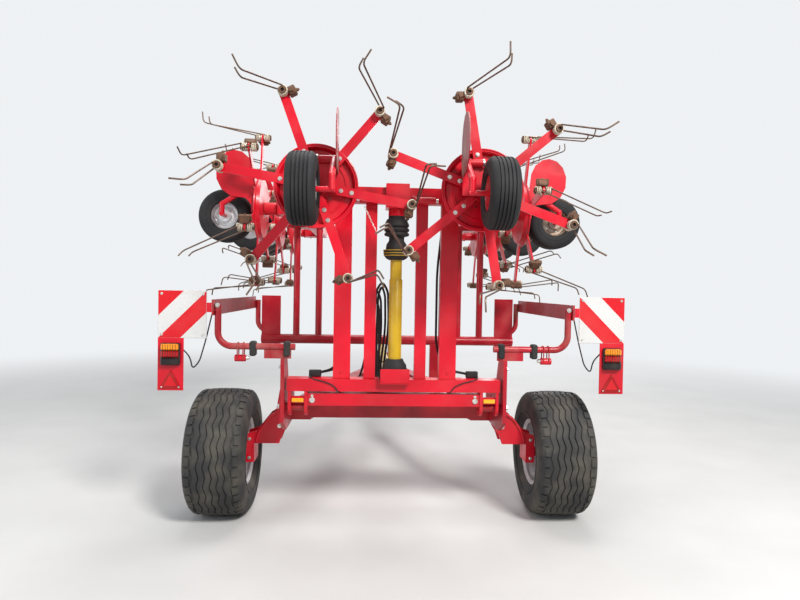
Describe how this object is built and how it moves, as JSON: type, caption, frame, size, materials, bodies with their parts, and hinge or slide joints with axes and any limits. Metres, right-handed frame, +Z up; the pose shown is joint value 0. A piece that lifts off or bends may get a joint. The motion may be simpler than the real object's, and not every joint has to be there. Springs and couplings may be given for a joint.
{
  "type": "hay tedder",
  "caption": "Trailed hay tedder stowed for the road: tined rotors on two folded wings, carried upright over a two-wheeled carriage with warning boards.",
  "frame": {"origin": "on the ground, midway between the rear end and the hitch eye's front, in the middle across", "axes": "+Y forwards along the drawbar, +X to the right, +Z up"},
  "size_m": [3, 5.252, 2.9003],
  "materials": {
    "red_paint": "glossy crimson paint, a little dusty",
    "dark_red_paint": "older crimson paint, dusty",
    "yellow_plastic": "smooth yellow plastic guard tube",
    "black_rubber": "black rubber boots and cones",
    "bright_steel": "zinc plated steel",
    "silver_paint": "silver painted rims",
    "tyre_rubber": "black tyre rubber",
    "striped_board": "white sheet with broad red diagonal stripes",
    "spring_steel": "brown, lightly rusted spring wire"
  },
  "bodies": {
    "chassis": {"side_frame_left": "dark_red_paint", "side_frame_right": "dark_red_paint", "wheel_arm_left": "red_paint", "wheel_arm_right": "red_paint", "drawbar": "dark_red_paint", "cross_member": "dark_red_paint", "carrier": "dark_red_paint", "line_shaft": "yellow_plastic", "drive_joint": "black_rubber", "guard_left": "red_paint", "guard_right": "red_paint", "board_left": "striped_board", "board_right": "striped_board"},
    "swing": {"swing_frame": "red_paint", "toolbar": "dark_red_paint", "drive_guard": "yellow_plastic", "drive_boots": "black_rubber", "legs_inner": "red_paint", "shields_inner": "dark_red_paint"},
    "wing_left": {"wing_beam_left": "dark_red_paint", "wing_legs_left": "red_paint", "wing_shields_left": "dark_red_paint"},
    "wing_right": {"wing_beam_right": "dark_red_paint", "wing_legs_right": "red_paint", "wing_shields_right": "dark_red_paint"},
    "jack": {"jack_leg": "bright_steel"},
    "road_wheel_left": {"tyre_left": "tyre_rubber", "rim_left": "silver_paint"},
    "road_wheel_right": {"tyre_right": "tyre_rubber", "rim_right": "silver_paint"},
    "rotor_left_1": {"rotor_left_1": "red_paint", "tines_left_1": "spring_steel"},
    "ground_wheel_left_1": {"ground_wheel_left_1": "tyre_rubber"},
    "rotor_left_2": {"rotor_left_2": "red_paint", "tines_left_2": "spring_steel"},
    "ground_wheel_left_2": {"ground_wheel_left_2": "tyre_rubber"},
    "rotor_left_3": {"rotor_left_3": "red_paint", "tines_left_3": "spring_steel"},
    "ground_wheel_left_3": {"ground_wheel_left_3": "tyre_rubber"},
    "rotor_left_4": {"rotor_left_4": "red_paint", "tines_left_4": "spring_steel"},
    "ground_wheel_left_4": {"ground_wheel_left_4": "tyre_rubber"},
    "rotor_right_1": {"rotor_right_1": "red_paint", "tines_right_1": "spring_steel"},
    "ground_wheel_right_1": {"ground_wheel_right_1": "tyre_rubber"},
    "rotor_right_2": {"rotor_right_2": "red_paint", "tines_right_2": "spring_steel"},
    "ground_wheel_right_2": {"ground_wheel_right_2": "tyre_rubber"},
    "rotor_right_3": {"rotor_right_3": "red_paint", "tines_right_3": "spring_steel"},
    "ground_wheel_right_3": {"ground_wheel_right_3": "tyre_rubber"},
    "rotor_right_4": {"rotor_right_4": "red_paint", "tines_right_4": "spring_steel"},
    "ground_wheel_right_4": {"ground_wheel_right_4": "tyre_rubber"}
  },
  "joints": [
    {"name": "swing", "type": "hinge", "parent": "chassis", "child": "swing", "pos_m": [0, -1.826, 0.8], "axis": [1, 0, 0], "range_deg": [0, 90]},
    {"name": "wing_left", "type": "hinge", "parent": "swing", "child": "wing_left", "pos_m": [-0.7, -1.826, 2.18], "axis": [0, 0, 1], "range_deg": [0, 90]},
    {"name": "wing_right", "type": "hinge", "parent": "swing", "child": "wing_right", "pos_m": [0.7, -1.826, 2.18], "axis": [0, 0, -1], "range_deg": [0, 90]},
    {"name": "jack", "type": "slide", "parent": "chassis", "child": "jack", "axis": [0, 0, 1], "range_m": [0, 0.3]},
    {"name": "road_wheel_left", "type": "hinge", "parent": "chassis", "child": "road_wheel_left", "pos_m": [-1.155, -1.526, 0.43], "axis": [1, 0, 0], "continuous": true},
    {"name": "road_wheel_right", "type": "hinge", "parent": "chassis", "child": "road_wheel_right", "pos_m": [1.155, -1.526, 0.43], "axis": [1, 0, 0], "continuous": true},
    {"name": "rotor_left_1", "type": "hinge", "parent": "swing", "child": "rotor_left_1", "pos_m": [-0.5, -1.826, 2.18], "axis": [0, 1, 0], "continuous": true},
    {"name": "ground_wheel_left_1", "type": "hinge", "parent": "swing", "child": "ground_wheel_left_1", "pos_m": [-0.55, -2.421, 2.12], "axis": [1, 0, 0], "continuous": true},
    {"name": "rotor_left_2", "type": "hinge", "parent": "wing_left", "child": "rotor_left_2", "pos_m": [-0.7, -1.026, 2.18], "axis": [1, 0, 0], "continuous": true},
    {"name": "ground_wheel_left_2", "type": "hinge", "parent": "wing_left", "child": "ground_wheel_left_2", "pos_m": [-1.295, -0.976, 2.12], "axis": [0, 1, 0], "continuous": true},
    {"name": "rotor_left_3", "type": "hinge", "parent": "wing_left", "child": "rotor_left_3", "pos_m": [-0.7, -0.026, 2.18], "axis": [1, 0, 0], "continuous": true},
    {"name": "ground_wheel_left_3", "type": "hinge", "parent": "wing_left", "child": "ground_wheel_left_3", "pos_m": [-1.295, 0.024, 2.12], "axis": [0, 1, 0], "continuous": true},
    {"name": "rotor_left_4", "type": "hinge", "parent": "wing_left", "child": "rotor_left_4", "pos_m": [-0.7, 0.974, 2.18], "axis": [1, 0, 0], "continuous": true},
    {"name": "ground_wheel_left_4", "type": "hinge", "parent": "wing_left", "child": "ground_wheel_left_4", "pos_m": [-1.295, 1.024, 2.12], "axis": [0, 1, 0], "continuous": true},
    {"name": "rotor_right_1", "type": "hinge", "parent": "swing", "child": "rotor_right_1", "pos_m": [0.5, -1.826, 2.18], "axis": [0, 1, 0], "continuous": true},
    {"name": "ground_wheel_right_1", "type": "hinge", "parent": "swing", "child": "ground_wheel_right_1", "pos_m": [0.55, -2.421, 2.12], "axis": [1, 0, 0], "continuous": true},
    {"name": "rotor_right_2", "type": "hinge", "parent": "wing_right", "child": "rotor_right_2", "pos_m": [0.7, -1.026, 2.18], "axis": [-1, 0, 0], "continuous": true},
    {"name": "ground_wheel_right_2", "type": "hinge", "parent": "wing_right", "child": "ground_wheel_right_2", "pos_m": [1.295, -0.976, 2.12], "axis": [0, 1, 0], "continuous": true},
    {"name": "rotor_right_3", "type": "hinge", "parent": "wing_right", "child": "rotor_right_3", "pos_m": [0.7, -0.026, 2.18], "axis": [-1, 0, 0], "continuous": true},
    {"name": "ground_wheel_right_3", "type": "hinge", "parent": "wing_right", "child": "ground_wheel_right_3", "pos_m": [1.295, 0.024, 2.12], "axis": [0, 1, 0], "continuous": true},
    {"name": "rotor_right_4", "type": "hinge", "parent": "wing_right", "child": "rotor_right_4", "pos_m": [0.7, 0.974, 2.18], "axis": [-1, 0, 0], "continuous": true},
    {"name": "ground_wheel_right_4", "type": "hinge", "parent": "wing_right", "child": "ground_wheel_right_4", "pos_m": [1.295, 1.024, 2.12], "axis": [0, 1, 0], "continuous": true}
  ],
  "couplings": [
    {"joint": "rotor_left_2", "follows": "rotor_left_1", "ratio": -1},
    {"joint": "rotor_left_3", "follows": "rotor_left_1", "ratio": 1},
    {"joint": "rotor_left_4", "follows": "rotor_left_1", "ratio": -1},
    {"joint": "rotor_right_1", "follows": "rotor_left_1", "ratio": -1},
    {"joint": "rotor_right_2", "follows": "rotor_left_1", "ratio": 1},
    {"joint": "rotor_right_3", "follows": "rotor_left_1", "ratio": -1},
    {"joint": "rotor_right_4", "follows": "rotor_left_1", "ratio": 1}
  ]
}
